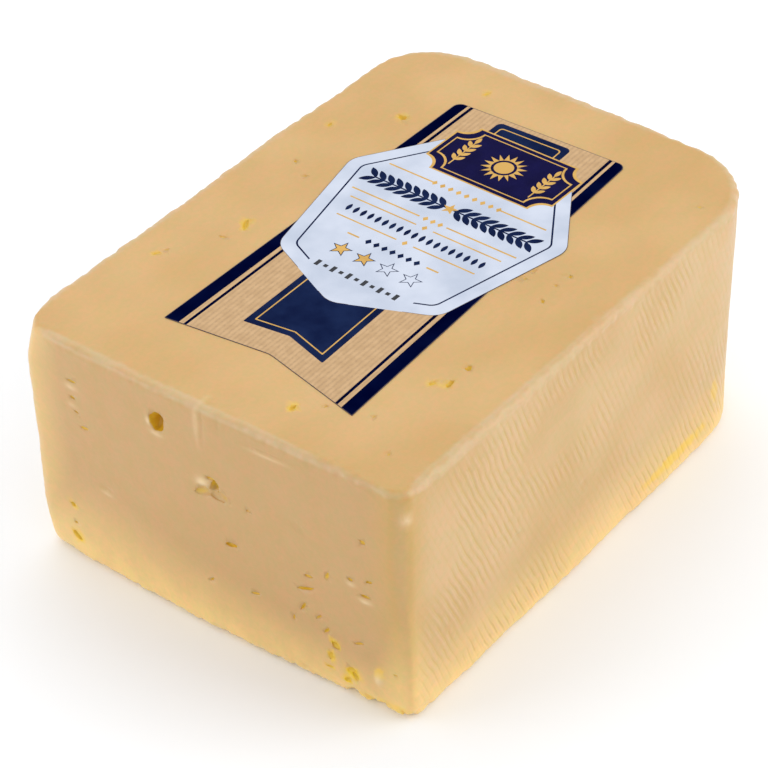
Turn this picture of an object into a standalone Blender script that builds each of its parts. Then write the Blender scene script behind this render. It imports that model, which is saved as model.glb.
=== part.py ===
"""A block of semi-hard cheese with a paper label on its top face.

The block is half of a rectangular loaf. One end is the smooth cut face, with rather
sharp upright corners. The other three walls were formed by the mould, so the two far
upright corners are round. Small eyes are open in the top and in the cut face, and the
lower rim of the cut face has crumbled.

+X runs from the cut end to the far end, +Z is up. The origin is on the surface that the
block stands on, below the middle of its outline. All sizes are in metres.
"""

import math
import random

import bmesh
import bpy
from mathutils import Matrix, Vector, noise

MM = 0.001

# Block
BLOCK_LENGTH = 150.0 * MM
BLOCK_WIDTH = 110.2 * MM
BLOCK_HEIGHT = 67.8 * MM
TOP_RIM_RADIUS = 2.6 * MM
FOOT_RIM_RADIUS = 3.5 * MM
CUT_CORNER_RADIUS = 4.5 * MM
BACK_CORNER_RADIUS = 18.0 * MM
FRONT_CORNER_RADIUS = 24.0 * MM
ROW_SPACING = 6.0 * MM

# Uneven form: how deep and how long the walls' waves are
WANDER_DEPTH = 0.45 * MM
WANDER_LENGTH = 26.0 * MM
CALM_TOP_MARGIN = 14.0 * MM

# Swellings and hollows of the walls: the way that the wall faces, the middle along it and up,
# and how far the wall stands out there from the true block, or in where it is negative
CUT_FACE = Vector((-1.0, 0.0, 0.0))
FAR_END = Vector((1.0, 0.0, 0.0))
CLOTH_SIDE = Vector((0.0, -1.0, 0.0))
BACK_SIDE = Vector((0.0, 1.0, 0.0))
WALL_MOVES = (
    (CUT_FACE, -55.0 * MM, 0.0 * MM, -2.0 * MM),
    (CUT_FACE, 50.0 * MM, 0.0 * MM, -0.9 * MM),
    (CUT_FACE, 20.0 * MM, 68.0 * MM, 0.9 * MM),
    (FAR_END, -50.0 * MM, 68.0 * MM, -0.7 * MM),
    (FAR_END, 20.0 * MM, 35.0 * MM, 2.0 * MM),
    (CLOTH_SIDE, 70.0 * MM, 20.0 * MM, -1.5 * MM),
    (CLOTH_SIDE, 10.0 * MM, 35.0 * MM, -0.5 * MM),
    (CLOTH_SIDE, 30.0 * MM, 68.0 * MM, -0.3 * MM),
    (BACK_SIDE, 65.0 * MM, 68.0 * MM, -1.2 * MM),
)
MOVE_REACH_ALONG = 60.0 * MM
MOVE_REACH_UP = 55.0 * MM

# Label: a strip with a notched near end, and a wider plate across it, in one sheet
LABEL_THICKNESS = 0.3 * MM
LABEL_GAP = 0.3 * MM
STRIP_LENGTH = 113.0 * MM
STRIP_NEAR_HALF_WIDTH = 28.3 * MM
STRIP_FAR_HALF_WIDTH = 24.9 * MM
STRIP_NEAR_SKEW = 2.1 * MM
STRIP_NOTCH_DEPTH = 5.0 * MM
STRIP_CORNER_RADIUS = 2.2 * MM
LABEL_NEAR_END = Vector((-56.7 * MM, -0.6 * MM))
LABEL_TURN = math.radians(0.9)
PLATE_APEX = 28.0 * MM
PLATE_SHOULDER = 38.7 * MM
PLATE_WIDEST = 76.7 * MM
PLATE_FAR_END = 104.0 * MM
PLATE_SHOULDER_HALF_WIDTH = 24.0 * MM
PLATE_HALF_WIDTH = 32.4 * MM
PLATE_FAR_HALF_WIDTH = 14.7 * MM
PLATE_TURN = math.radians(-2.0)
PLATE_CORNER_RADIUS = 6.0 * MM
ARC_STEPS = 6

# Worn corners: place as shares of the half sizes, reach, and how far the corner is worn off
WORN_CORNERS = (
    ((-1.0, -1.0, 0.0), 15.0 * MM, 0.3 * MM),
    ((-1.0, 1.0, 0.0), 15.0 * MM, 0.9 * MM),
    ((-1.0, 1.0, 1.0), 12.0 * MM, 1.7 * MM),
    ((1.0, -1.0, 0.0), 16.0 * MM, 1.0 * MM),
)

# Eyes in the cut face: place across and up, width, height, depth, and turn in degrees
CUT_FACE_EYES = (
    (13.1, 58.3, 4.8, 5.8, 3.2, 10.0),
    (-2.0, 46.6, 2.6, 3.6, 2.2, 0.0),
    (-0.2, 43.4, 6.4, 2.4, 1.0, -32.0),
    (-4.6, 44.6, 3.6, 1.8, 0.9, 40.0),
    (-6.4, 30.6, 3.2, 1.5, 1.3, 0.0),
    (-26.9, 28.3, 5.4, 1.4, 1.2, -22.0),
    (-28.2, 32.5, 2.4, 1.2, 0.9, 0.0),
    (-26.9, 46.3, 4.4, 2.4, 0.6, 0.0),
    (-25.9, 21.8, 1.4, 3.0, 0.9, -25.0),
    (-31.9, 17.3, 2.8, 1.3, 0.9, -48.0),
    (-34.4, 13.8, 2.8, 2.6, 1.5, 0.0),
    (-41.9, 18.5, 3.2, 1.3, 1.0, -32.0),
    (-39.4, 7.8, 3.2, 3.0, 1.1, 20.0),
    (31.6, 28.3, 3.2, 1.4, 0.5, 0.0),
    (43.6, 7.8, 3.6, 1.8, 0.7, 35.0),
)

# Eyes in the top face: place along and across, width, height, depth, and turn in degrees
TOP_EYES = (
    (-17.5, 35.6, 4.2, 2.0, 0.7, 15.0),
    (42.0, 33.1, 2.4, 3.2, 1.2, 15.0),
    (-64.0, -16.4, 2.6, 2.0, 0.9, 0.0),
    (-37.0, -39.6, 3.2, 2.0, 1.0, 0.0),
    (-30.3, -39.6, 2.6, 2.2, 1.0, 30.0),
    (-37.5, 45.6, 2.4, 1.6, 0.8, 30.0),
)

# Crumbled notches along the lower rim of the cut face
NOTCH_COUNT = 7
NOTCH_FIRST = -50.0 * MM
NOTCH_LAST = -24.0 * MM
NOTCH_SEED = 11


def clear_scene():
    for item in list(bpy.data.objects):
        bpy.data.objects.remove(item, do_unlink=True)


def new_collection(name):
    collection = bpy.data.collections.new(name)
    bpy.context.scene.collection.children.link(collection)
    return collection


def new_material(name, colour, roughness):
    material = bpy.data.materials.new(name)
    material.use_nodes = True
    shader = material.node_tree.nodes["Principled BSDF"]
    shader.inputs["Base Color"].default_value = (*colour, 1.0)
    shader.inputs["Roughness"].default_value = roughness
    shader.inputs["Metallic"].default_value = 0.0
    return material


def new_object(name, form, collection, material=None):
    """Puts the bmesh FORM into a named object of its own."""
    mesh = bpy.data.meshes.new(name)
    form.to_mesh(mesh)
    form.free()
    piece = bpy.data.objects.new(name, mesh)
    collection.objects.link(piece)
    if material:
        mesh.materials.append(material)
    return piece


def arc_rows(radius, steps):
    """Distances from an edge that split its rounding into equal angles."""
    return [radius * (1.0 - math.tan(math.radians(45.0 * step / steps))) for step in range(1, steps)]


def rows(length, near_rows, far_rows):
    """Places of the cuts across LENGTH, dense at both ends and evenly spread between them."""
    half = length / 2.0
    near = sorted(-half + row for row in near_rows)
    far = sorted(half - row for row in far_rows)
    span = far[0] - near[-1]
    count = max(1, round(span / ROW_SPACING))
    middle = [near[-1] + span * step / count for step in range(1, count)]
    return near + middle + far


def corner_radius(x, y):
    if x < 0.0:
        return CUT_CORNER_RADIUS
    return BACK_CORNER_RADIUS if y > 0.0 else FRONT_CORNER_RADIUS


def pulled_in(along, across):
    """Share by which a square corner's point is pulled in to lie on the corner's arc."""
    reach = math.hypot(along, across)
    return max(along, across) / reach if reach > 0.0 else 1.0


def round_upright_corners(point):
    radius = corner_radius(point.x, point.y)
    along = abs(point.x) - (BLOCK_LENGTH / 2.0 - radius)
    across = abs(point.y) - (BLOCK_WIDTH / 2.0 - radius)
    if along <= 0.0 or across <= 0.0:
        return
    pull = 1.0 - pulled_in(along, across)
    point.x -= math.copysign(along * pull, point.x)
    point.y -= math.copysign(across * pull, point.y)


def wall_beside(x, y):
    """Distance in from the nearest wall, and the direction straight out through it."""
    radius = corner_radius(x, y)
    along = abs(x) - (BLOCK_LENGTH / 2.0 - radius)
    across = abs(y) - (BLOCK_WIDTH / 2.0 - radius)
    if along > 0.0 and across > 0.0:
        reach = math.hypot(along, across)
        outward = Vector((math.copysign(along, x), math.copysign(across, y), 0.0)) / reach
        return radius - reach, outward
    if along > across:
        return radius - along, Vector((math.copysign(1.0, x), 0.0, 0.0))
    return radius - across, Vector((0.0, math.copysign(1.0, y), 0.0))


def round_rims(point):
    depth, outward = wall_beside(point.x, point.y)
    middle = BLOCK_HEIGHT / 2.0
    radius = TOP_RIM_RADIUS if point.z > middle else FOOT_RIM_RADIUS
    inward = radius - depth
    upward = abs(point.z - middle) - (middle - radius)
    if inward <= 0.0 or upward <= 0.0:
        return
    pull = 1.0 - pulled_in(inward, upward)
    point -= outward * (inward * pull)
    point.z -= math.copysign(upward * pull, point.z - middle)


def uneven(point):
    """How far a point of the true block moves for its walls' swellings, waves and wear."""
    depth, outward = wall_beside(point.x, point.y)
    wall_share = max(0.0, 1.0 - depth / CALM_TOP_MARGIN)
    wander = noise.noise(point / WANDER_LENGTH)
    move = outward * (WANDER_DEPTH * wander * wall_share)
    if point.z > BLOCK_HEIGHT / 2.0:
        lift = noise.noise(point / WANDER_LENGTH + Vector((7.0, 3.0, 5.0)))
        move.z += WANDER_DEPTH * lift * wall_share * (point.z / BLOCK_HEIGHT) ** 6
    for wall, middle, height, amount in WALL_MOVES:
        place = point.y if wall.y == 0.0 else point.x
        along = (place - middle) / MOVE_REACH_ALONG
        up = (point.z - height) / MOVE_REACH_UP
        near = max(0.0, 1.0 - along ** 2 - up ** 2) ** 2
        faces = max(0.0, outward.dot(wall)) ** 2
        move += wall * (amount * near * faces * wall_share)
    for shares, reach, worn in WORN_CORNERS:
        corner = Vector((shares[0] * BLOCK_LENGTH, shares[1] * BLOCK_WIDTH, 0.0)) / 2.0
        corner.z = shares[2] * BLOCK_HEIGHT
        near = max(0.0, 1.0 - (point - corner).length / reach)
        to_middle = Vector((0.0, 0.0, BLOCK_HEIGHT / 2.0)) - corner
        move += to_middle.normalized() * (worn * math.sqrt(3.0) * near ** 1.5)
    return move


def make_block(collection, material):
    """A cube cut into rows, with its corners and rims rounded and its form made uneven."""
    form = bmesh.new()
    bmesh.ops.create_cube(form, size=1.0)
    size = Vector((BLOCK_LENGTH, BLOCK_WIDTH, BLOCK_HEIGHT))
    for vertex in form.verts:
        vertex.co = Vector(share * side for share, side in zip(vertex.co, size))
    top_rows = [TOP_RIM_RADIUS] + arc_rows(TOP_RIM_RADIUS, 2)
    foot_rows = [FOOT_RIM_RADIUS] + arc_rows(FOOT_RIM_RADIUS, 2)
    wall_rows = [FOOT_RIM_RADIUS] + top_rows
    round_radius = (BACK_CORNER_RADIUS + FRONT_CORNER_RADIUS) / 2.0
    far_rows = wall_rows + [round_radius] + arc_rows(round_radius, 4)
    cuts = (
        (Vector((1.0, 0.0, 0.0)), rows(BLOCK_LENGTH, wall_rows, far_rows)),
        (Vector((0.0, 1.0, 0.0)), rows(BLOCK_WIDTH, far_rows, far_rows)),
        (Vector((0.0, 0.0, 1.0)), rows(BLOCK_HEIGHT, foot_rows, top_rows)),
    )
    for normal, places in cuts:
        for place in places:
            everything = form.verts[:] + form.edges[:] + form.faces[:]
            bmesh.ops.bisect_plane(
                form, geom=everything, dist=1e-7, plane_co=normal * place, plane_no=normal
            )
    for vertex in form.verts:
        vertex.co.z += BLOCK_HEIGHT / 2.0
        round_upright_corners(vertex.co)
        round_rims(vertex.co)
        stands = vertex.co.z < 1e-6
        vertex.co += uneven(vertex.co)
        if stands:
            vertex.co.z = 0.0
        vertex.co.z = max(vertex.co.z, 0.0)
    block = new_object("cheese", form, collection, material)
    block.data.shade_smooth()
    block.data.set_sharp_from_angle(angle=math.radians(35.0))
    return block


def make_hollow(name, place, inward, size, turn, cutters):
    """A cutter in the form of a lens that opens one eye or notch."""
    form = bmesh.new()
    bmesh.ops.create_icosphere(form, subdivisions=2, radius=0.5)
    for vertex in form.verts:
        vertex.co = Vector(share * side for share, side in zip(vertex.co, size))
    cutter = new_object(name, form, cutters)
    facing = inward.to_track_quat("Z", "Y").to_matrix().to_4x4()
    cutter.matrix_world = Matrix.Translation(place) @ facing @ Matrix.Rotation(turn, 4, "Z")
    cutter.hide_render = True
    cutter.display_type = "WIRE"
    return cutter


def make_eyes(cutters):
    for number, (across, up, width, height, depth, turn) in enumerate(CUT_FACE_EYES):
        place = Vector((-BLOCK_LENGTH / 2.0, across * MM, up * MM))
        place += uneven(place)
        size = Vector((height, width, 2.0 * depth)) * MM
        make_hollow(
            f"cut_eye_{number}", place, Vector((1.0, 0.0, 0.0)), size, math.radians(turn), cutters
        )
    for number, (along, across, width, height, depth, turn) in enumerate(TOP_EYES):
        place = Vector((along * MM, across * MM, BLOCK_HEIGHT))
        place += uneven(place)
        size = Vector((width, height, 2.0 * depth)) * MM
        make_hollow(
            f"top_eye_{number}", place, Vector((0.0, 0.0, -1.0)), size, math.radians(turn), cutters
        )


def make_notches(cutters):
    draw = random.Random(NOTCH_SEED)
    step = (NOTCH_LAST - NOTCH_FIRST) / (NOTCH_COUNT - 1)
    for number in range(NOTCH_COUNT):
        across = NOTCH_FIRST + step * (number + draw.uniform(-0.2, 0.2))
        place = Vector((-BLOCK_LENGTH / 2.0 + 0.9 * MM, across, 0.6 * MM))
        place += uneven(place)
        width = draw.uniform(2.0, 3.4) * MM
        size = Vector((width, draw.uniform(3.4, 4.6) * MM, draw.uniform(1.8, 2.8) * MM))
        turn = math.radians(draw.uniform(-30.0, 30.0))
        make_hollow(f"notch_{number}", place, Vector((1.0, 0.0, 0.6)), size, turn, cutters)


def open_hollows(block, cutters):
    cut = block.modifiers.new("eyes and notches", "BOOLEAN")
    cut.operation = "DIFFERENCE"
    cut.operand_type = "COLLECTION"
    cut.collection = cutters
    cut.solver = "EXACT"


def rounded_outline(corners, radii):
    """The corners of a flat shape, each one replaced by an arc of its own radius."""
    points = []
    for number, corner in enumerate(corners):
        before = (corners[number - 1] - corner).normalized()
        after = (corners[(number + 1) % len(corners)] - corner).normalized()
        half_angle = before.angle(after) / 2.0
        middle = (before + after).normalized()
        radius = radii[number]
        centre = corner + middle * (radius / math.sin(half_angle))
        start = corner + before * (radius / math.tan(half_angle)) - centre
        end = corner + after * (radius / math.tan(half_angle)) - centre
        for step in range(ARC_STEPS + 1):
            share = step / ARC_STEPS
            spoke = start.lerp(end, share).normalized() * radius
            points.append(centre + spoke)
    return points


def strip_corners():
    """The strip's corners in the label's own frame, from its near end, anticlockwise."""
    return (
        Vector((-STRIP_NEAR_SKEW, -STRIP_NEAR_HALF_WIDTH)),
        Vector((STRIP_LENGTH, -STRIP_FAR_HALF_WIDTH)),
        Vector((STRIP_LENGTH, STRIP_FAR_HALF_WIDTH)),
        Vector((STRIP_NEAR_SKEW, STRIP_NEAR_HALF_WIDTH)),
        Vector((STRIP_NOTCH_DEPTH, 0.0)),
    )


def plate_corners():
    """The plate's corners in the label's own frame, from its apex, anticlockwise."""
    stations = (
        (PLATE_SHOULDER, PLATE_SHOULDER_HALF_WIDTH),
        (PLATE_WIDEST, PLATE_HALF_WIDTH),
        (PLATE_FAR_END, PLATE_FAR_HALF_WIDTH),
    )
    right = [Vector((along, -half)) for along, half in stations]
    left = [Vector((along, half)) for along, half in reversed(stations)]
    corners = [Vector((PLATE_APEX, 0.0))] + right + left
    pivot = Vector(((PLATE_APEX + PLATE_FAR_END) / 2.0, 0.0))
    turn = Matrix.Rotation(PLATE_TURN, 2)
    return [pivot + turn @ (corner - pivot) for corner in corners]


def make_flat(name, corners, radii, collection):
    """A thin flat piece from a rounded outline, as a closed mesh."""
    curve = bpy.data.curves.new(name, "CURVE")
    curve.dimensions = "2D"
    curve.fill_mode = "BOTH"
    curve.extrude = LABEL_THICKNESS / 2.0
    points = rounded_outline(corners, radii)
    spline = curve.splines.new("POLY")
    spline.points.add(len(points) - 1)
    for spline_point, point in zip(spline.points, points):
        spline_point.co = (point.x, point.y, 0.0, 1.0)
    spline.use_cyclic_u = True
    drawn = bpy.data.objects.new(name + "_outline", curve)
    collection.objects.link(drawn)
    bpy.context.view_layer.update()
    mesh = bpy.data.meshes.new_from_object(drawn.evaluated_get(bpy.context.evaluated_depsgraph_get()))
    bpy.data.objects.remove(drawn, do_unlink=True)
    form = bmesh.new()
    form.from_mesh(mesh)
    bpy.data.meshes.remove(mesh)
    bmesh.ops.remove_doubles(form, verts=form.verts[:], dist=1e-6)
    bmesh.ops.recalc_face_normals(form, faces=form.faces[:])
    return new_object(name, form, collection)


def make_label(collection, cutters, material):
    """The die-cut label: the strip joined with the plate, lying on the block's top."""
    strip_radii = [0.2 * MM, STRIP_CORNER_RADIUS, STRIP_CORNER_RADIUS, 0.2 * MM, PLATE_CORNER_RADIUS]
    label = make_flat("label", strip_corners(), strip_radii, collection)
    label.data.materials.append(material)
    plate = make_flat("label_plate", plate_corners(), [PLATE_CORNER_RADIUS] * 7, cutters)
    place = Matrix.Translation((*LABEL_NEAR_END, BLOCK_HEIGHT + LABEL_GAP + LABEL_THICKNESS / 2.0))
    for piece in (label, plate):
        piece.matrix_world = place @ Matrix.Rotation(LABEL_TURN, 4, "Z")
    plate.hide_render = True
    plate.display_type = "WIRE"
    join = label.modifiers.new("plate", "BOOLEAN")
    join.operation = "UNION"
    join.object = plate
    join.solver = "EXACT"
    return label


def centre_outline(block, others):
    """Moves everything so that the origin is below the middle of the block's outline."""
    bpy.context.view_layer.update()
    corners = [vertex.co for vertex in block.data.vertices]
    shift = Vector((
        -(min(c.x for c in corners) + max(c.x for c in corners)) / 2.0,
        -(min(c.y for c in corners) + max(c.y for c in corners)) / 2.0,
        0.0,
    ))
    for piece in [block] + others:
        piece.location += shift


def main():
    clear_scene()
    parts = new_collection("cheese_block")
    eye_cutters = new_collection("cutters")
    label_cutters = new_collection("label_cutters")
    paste = new_material("cheese", (0.75, 0.50, 0.24), 0.45)
    paper = new_material("label", (0.66, 0.68, 0.74), 0.55)
    block = make_block(parts, paste)
    make_eyes(eye_cutters)
    make_notches(eye_cutters)
    open_hollows(block, eye_cutters)
    label = make_label(parts, label_cutters, paper)
    centre_outline(block, list(eye_cutters.objects) + list(label_cutters.objects) + [label])


main()
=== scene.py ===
import math
import random

import bmesh
import bpy
import numpy as np
from mathutils import Matrix, Vector, geometry, noise
from mathutils.bvhtree import BVHTree


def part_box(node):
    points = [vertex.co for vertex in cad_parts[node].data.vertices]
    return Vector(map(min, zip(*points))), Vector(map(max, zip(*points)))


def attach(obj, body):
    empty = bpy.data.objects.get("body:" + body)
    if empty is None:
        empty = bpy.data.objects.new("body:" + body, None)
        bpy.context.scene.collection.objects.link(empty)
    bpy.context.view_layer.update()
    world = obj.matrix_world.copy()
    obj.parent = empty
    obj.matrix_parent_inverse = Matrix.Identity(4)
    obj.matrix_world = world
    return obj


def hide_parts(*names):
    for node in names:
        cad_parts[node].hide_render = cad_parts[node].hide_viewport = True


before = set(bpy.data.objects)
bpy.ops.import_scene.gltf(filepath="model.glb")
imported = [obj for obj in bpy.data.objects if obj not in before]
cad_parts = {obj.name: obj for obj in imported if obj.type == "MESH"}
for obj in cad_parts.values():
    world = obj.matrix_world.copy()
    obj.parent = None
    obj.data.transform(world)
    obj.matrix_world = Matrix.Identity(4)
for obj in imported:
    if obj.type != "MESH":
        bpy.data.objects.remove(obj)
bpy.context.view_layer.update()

MM = 0.001
block_low, block_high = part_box("cheese")
label_low, label_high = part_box("label")

# The camera stands well above the block, off the corner between the cut face and the
# cloth-marked side, with a long lens, so that the block's edges hardly converge.
CAMERA_AIM = Vector((-11.9, -1.0, 33.9)) * MM
CAMERA_DISTANCE = 738.4 * MM
CAMERA_AZIMUTH = math.radians(-51.67)
CAMERA_ELEVATION = math.radians(38.17)
CAMERA_ROLL = math.radians(-1.61)
CAMERA_LENS = 145.06
CAMERA_SENSOR = 36.0
CAMERA_CLIP_START = 0.01

camera_data = bpy.data.cameras.new("camera")
camera_data.lens = CAMERA_LENS
camera_data.sensor_width = CAMERA_SENSOR
camera_data.clip_start = CAMERA_CLIP_START
camera = bpy.data.objects.new("camera", camera_data)
bpy.context.collection.objects.link(camera)
camera_back = Vector((
    math.sin(CAMERA_AZIMUTH) * math.cos(CAMERA_ELEVATION),
    -math.cos(CAMERA_AZIMUTH) * math.cos(CAMERA_ELEVATION),
    math.sin(CAMERA_ELEVATION),
))
camera.matrix_world = (
    Matrix.Translation(CAMERA_AIM + camera_back * CAMERA_DISTANCE)
    @ camera_back.to_track_quat("Z", "Y").to_matrix().to_4x4()
    @ Matrix.Rotation(CAMERA_ROLL, 4, "Z")
)
bpy.context.scene.camera = camera

# The studio: a pale floor a hair below the block, a broad soft light high on the side of
# the cloth-marked wall, weaker ones overhead and facing the cut face, and a pale world around
# them.
FLOOR_SIZE = 6.0
FLOOR_DROP = 0.02 * MM
FLOOR_COLOUR = (0.965, 0.98, 1.0)
FLOOR_ROUGHNESS = 0.9
STUDIO_COLOUR = (0.95, 0.975, 1.0)
STUDIO_STRENGTH = 0.84
LIGHTS = (
    # name, place, width, power in watts, colour
    ("key_light", Vector((0.55, -1.0, 0.62)), 0.9, 6.6, (1.0, 0.985, 0.96)),
    ("overhead_light", Vector((0.25, 0.45, 0.8)), 0.9, 2.1, (1.0, 1.0, 1.0)),
    ("cut_face_light", Vector((-0.46, 0.36, 0.2)), 0.36, 0.8, (1.0, 1.0, 1.0)),
)

bpy.context.scene.view_settings.view_transform = "Standard"
floor_form = bmesh.new()
bmesh.ops.create_grid(floor_form, x_segments=1, y_segments=1, size=FLOOR_SIZE / 2.0)
floor_mesh = bpy.data.meshes.new("floor")
floor_form.to_mesh(floor_mesh)
floor_form.free()
floor = bpy.data.objects.new("floor", floor_mesh)
floor.location.z = -FLOOR_DROP
bpy.context.collection.objects.link(floor)
floor_material = bpy.data.materials.new("pale_floor")
floor_material.use_nodes = True
floor_shader = floor_material.node_tree.nodes["Principled BSDF"]
floor_shader.inputs["Base Color"].default_value = (*FLOOR_COLOUR, 1.0)
floor_shader.inputs["Roughness"].default_value = FLOOR_ROUGHNESS
floor_mesh.materials.append(floor_material)

studio = bpy.data.worlds.new("studio")
studio.use_nodes = True
background = studio.node_tree.nodes["Background"]
background.inputs["Color"].default_value = (*STUDIO_COLOUR, 1.0)
background.inputs["Strength"].default_value = STUDIO_STRENGTH
bpy.context.scene.world = studio
for name, place, width, power, colour in LIGHTS:
    light_data = bpy.data.lights.new(name, "AREA")
    light_data.size = width
    light_data.energy = power
    light_data.color = colour
    light = bpy.data.objects.new(name, light_data)
    bpy.context.collection.objects.link(light)
    light.location = place
    light.rotation_euler = (place - CAMERA_AIM).to_track_quat("Z", "Y").to_euler()

# The block is one piece of semi-hard cheese paste: half of a rectangular loaf. The loaf
# took round corners and cloth marks from its mould, and a wire cut it across, which left
# the smooth near end with its sharper corners.
BLOCK_LENGTH = 150.0 * MM
BLOCK_WIDTH = 110.2 * MM
BLOCK_HEIGHT = 67.8 * MM
TOP_RIM_RADIUS = 2.0 * MM
FOOT_RIM_RADIUS = 3.0 * MM
CUT_CORNER_RADIUS = 4.5 * MM
BACK_CORNER_RADIUS = 18.0 * MM
FRONT_CORNER_RADIUS = 24.0 * MM
WANDER_DEPTH = 0.45 * MM
WANDER_LENGTH = 26.0 * MM
CALM_TOP_MARGIN = 14.0 * MM
CELL = 0.45 * MM
# Swellings and hollows: the way that the wall faces, the middle along it and up, and how
# far the wall stands out from the true block there, or in where negative, in millimetres
CUT_FACE = (-1.0, 0.0, 0.0)
FAR_END = (1.0, 0.0, 0.0)
CLOTH_SIDE = (0.0, -1.0, 0.0)
BACK_SIDE = (0.0, 1.0, 0.0)
WALL_MOVES = (
    (CUT_FACE, -55.0, 0.0, -2.0), (CUT_FACE, 50.0, 0.0, -0.9), (CUT_FACE, 20.0, 68.0, 0.9),
    (FAR_END, -50.0, 68.0, -0.7), (FAR_END, 20.0, 35.0, 2.0),
    (CLOTH_SIDE, 70.0, 20.0, -1.5), (CLOTH_SIDE, 10.0, 35.0, -0.5),
    (CLOTH_SIDE, 30.0, 68.0, -0.3), (BACK_SIDE, 65.0, 68.0, -1.2),
)
MOVE_REACH_ALONG = 60.0 * MM
MOVE_REACH_UP = 55.0 * MM
# Place as shares of the half sizes, reach, and how far the corner is worn off
WORN_CORNERS = (
    ((-1.0, -1.0, 0.0), 15.0 * MM, 0.3 * MM),
    ((-1.0, 1.0, 0.0), 15.0 * MM, 0.9 * MM),
    ((-1.0, 1.0, 1.0), 12.0 * MM, 1.7 * MM),
    ((1.0, -1.0, 0.0), 16.0 * MM, 1.0 * MM),
)
paste = bpy.data.materials.new("cheese_paste")


def new_piece(name, mesh):
    piece = bpy.data.objects.new(name, mesh)
    bpy.context.collection.objects.link(piece)
    return piece


def node_tree_with_inputs(name, sizes):
    """An empty geometry tree with a named input for each of the SIZES and counts."""
    tree = bpy.data.node_groups.new(name, "GeometryNodeTree")
    tree.interface.new_socket("Geometry", in_out="INPUT", socket_type="NodeSocketGeometry")
    for title, value in sizes.items():
        kind = "NodeSocketInt" if isinstance(value, int) else "NodeSocketFloat"
        socket = tree.interface.new_socket(title, in_out="INPUT", socket_type=kind)
        socket.default_value = value
    tree.interface.new_socket("Geometry", in_out="OUTPUT", socket_type="NodeSocketGeometry")
    return tree, tree.nodes.new("NodeGroupInput"), tree.nodes.new("NodeGroupOutput")


def grown_mesh(name, tree, values):
    """Runs a geometry tree with VALUES for its inputs, and returns the plain mesh."""
    carrier = new_piece(name + "_carrier", bpy.data.meshes.new(name + "_carrier"))
    grow = carrier.modifiers.new("grow", "NODES")
    grow.node_group = tree
    for item in tree.interface.items_tree:
        if item.in_out == "INPUT" and item.name in values:
            grow[item.identifier] = values[item.name]
    evaluated = carrier.evaluated_get(bpy.context.evaluated_depsgraph_get())
    mesh = bpy.data.meshes.new_from_object(evaluated)
    carrier.modifiers.remove(grow)
    bpy.data.objects.remove(carrier, do_unlink=True)
    mesh.name = name
    return mesh


def add_node(tree, kind, settings, feeds):
    """A node with its settings. FEEDS gives each input's value or the socket before it."""
    node = tree.nodes.new(kind)
    for name, value in settings.items():
        setattr(node, name, value)
    for key, source in feeds.items():
        if isinstance(source, bpy.types.NodeSocket):
            tree.links.new(source, node.inputs[key])
        else:
            node.inputs[key].default_value = source
    return node


def math_node(tree, operation, first, second=0.5):
    node = add_node(tree, "ShaderNodeMath", {"operation": operation}, {0: first, 1: second})
    return node.outputs[0]


def end_tree(tree, geometry, material, out):
    """Ends a geometry tree with its realized and painted mesh."""
    realize = add_node(tree, "GeometryNodeRealizeInstances", {}, {"Geometry": geometry})
    paint = add_node(tree, "GeometryNodeSetMaterial", {}, {
        "Geometry": realize.outputs["Geometry"], "Material": material,
    })
    tree.links.new(paint.outputs["Geometry"], out.inputs["Geometry"])


def sliced_block_mesh(cell):
    """The true block, its walls divided into square cells."""
    tree, given, out = node_tree_with_inputs("sliced block", {
        "Length": BLOCK_LENGTH, "Width": BLOCK_WIDTH, "Height": BLOCK_HEIGHT, "Cell": cell,
    })
    sides = dict(zip("XYZ", (given.outputs[side] for side in ("Length", "Width", "Height"))))
    size = add_node(tree, "ShaderNodeCombineXYZ", {}, sides)
    cube = add_node(tree, "GeometryNodeMeshCube", {}, {"Size": size.outputs[0]})
    for axis, side in sides.items():
        count = math_node(tree, "CEIL", math_node(tree, "DIVIDE", side, given.outputs["Cell"]))
        tree.links.new(count, cube.inputs["Vertices " + axis])
    half_height = math_node(tree, "MULTIPLY", given.outputs["Height"], 0.5)
    up = add_node(tree, "ShaderNodeCombineXYZ", {}, {"Z": half_height})
    lifted = add_node(tree, "GeometryNodeTransform", {}, {
        "Geometry": cube.outputs["Mesh"], "Translation": up.outputs[0],
    })
    end_tree(tree, lifted.outputs["Geometry"], paste, out)
    return grown_mesh("sliced_block", tree, {"Cell": cell})


def vectors_of(items, name):
    values = np.empty(len(items) * 3, np.float32)
    items.foreach_get(name, values)
    return values.reshape(-1, 3).astype(float)


def set_points(mesh, places):
    mesh.vertices.foreach_set("co", places.astype(np.float32).ravel())
    mesh.update()


def fade(distance, width):
    """1 at no distance, falling evenly to 0 at WIDTH."""
    return np.clip(1.0 - distance / width, 0.0, 1.0)


def wander(places, length, offset=(0.0, 0.0, 0.0)):
    """Smooth noise from -1 to 1 at each place, whose swells are about LENGTH apart."""
    scaled = places / length + np.array(offset)
    return np.array([noise.noise(place) for place in scaled.tolist()])


def ramp(low, high, value):
    """0 below LOW, 1 above HIGH, and smooth between them."""
    share = np.clip((value - low) / (high - low), 0.0, 1.0)
    return share * share * (3.0 - 2.0 * share)


def beside_corner(places):
    """The nearest upright corner's radius, and each place's way past the arc's middle."""
    far = np.where(places[:, 1] > 0.0, BACK_CORNER_RADIUS, FRONT_CORNER_RADIUS)
    radius = np.where(places[:, 0] < 0.0, CUT_CORNER_RADIUS, far)
    along = np.abs(places[:, 0]) - (BLOCK_LENGTH / 2.0 - radius)
    across = np.abs(places[:, 1]) - (BLOCK_WIDTH / 2.0 - radius)
    return radius, along, across


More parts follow.
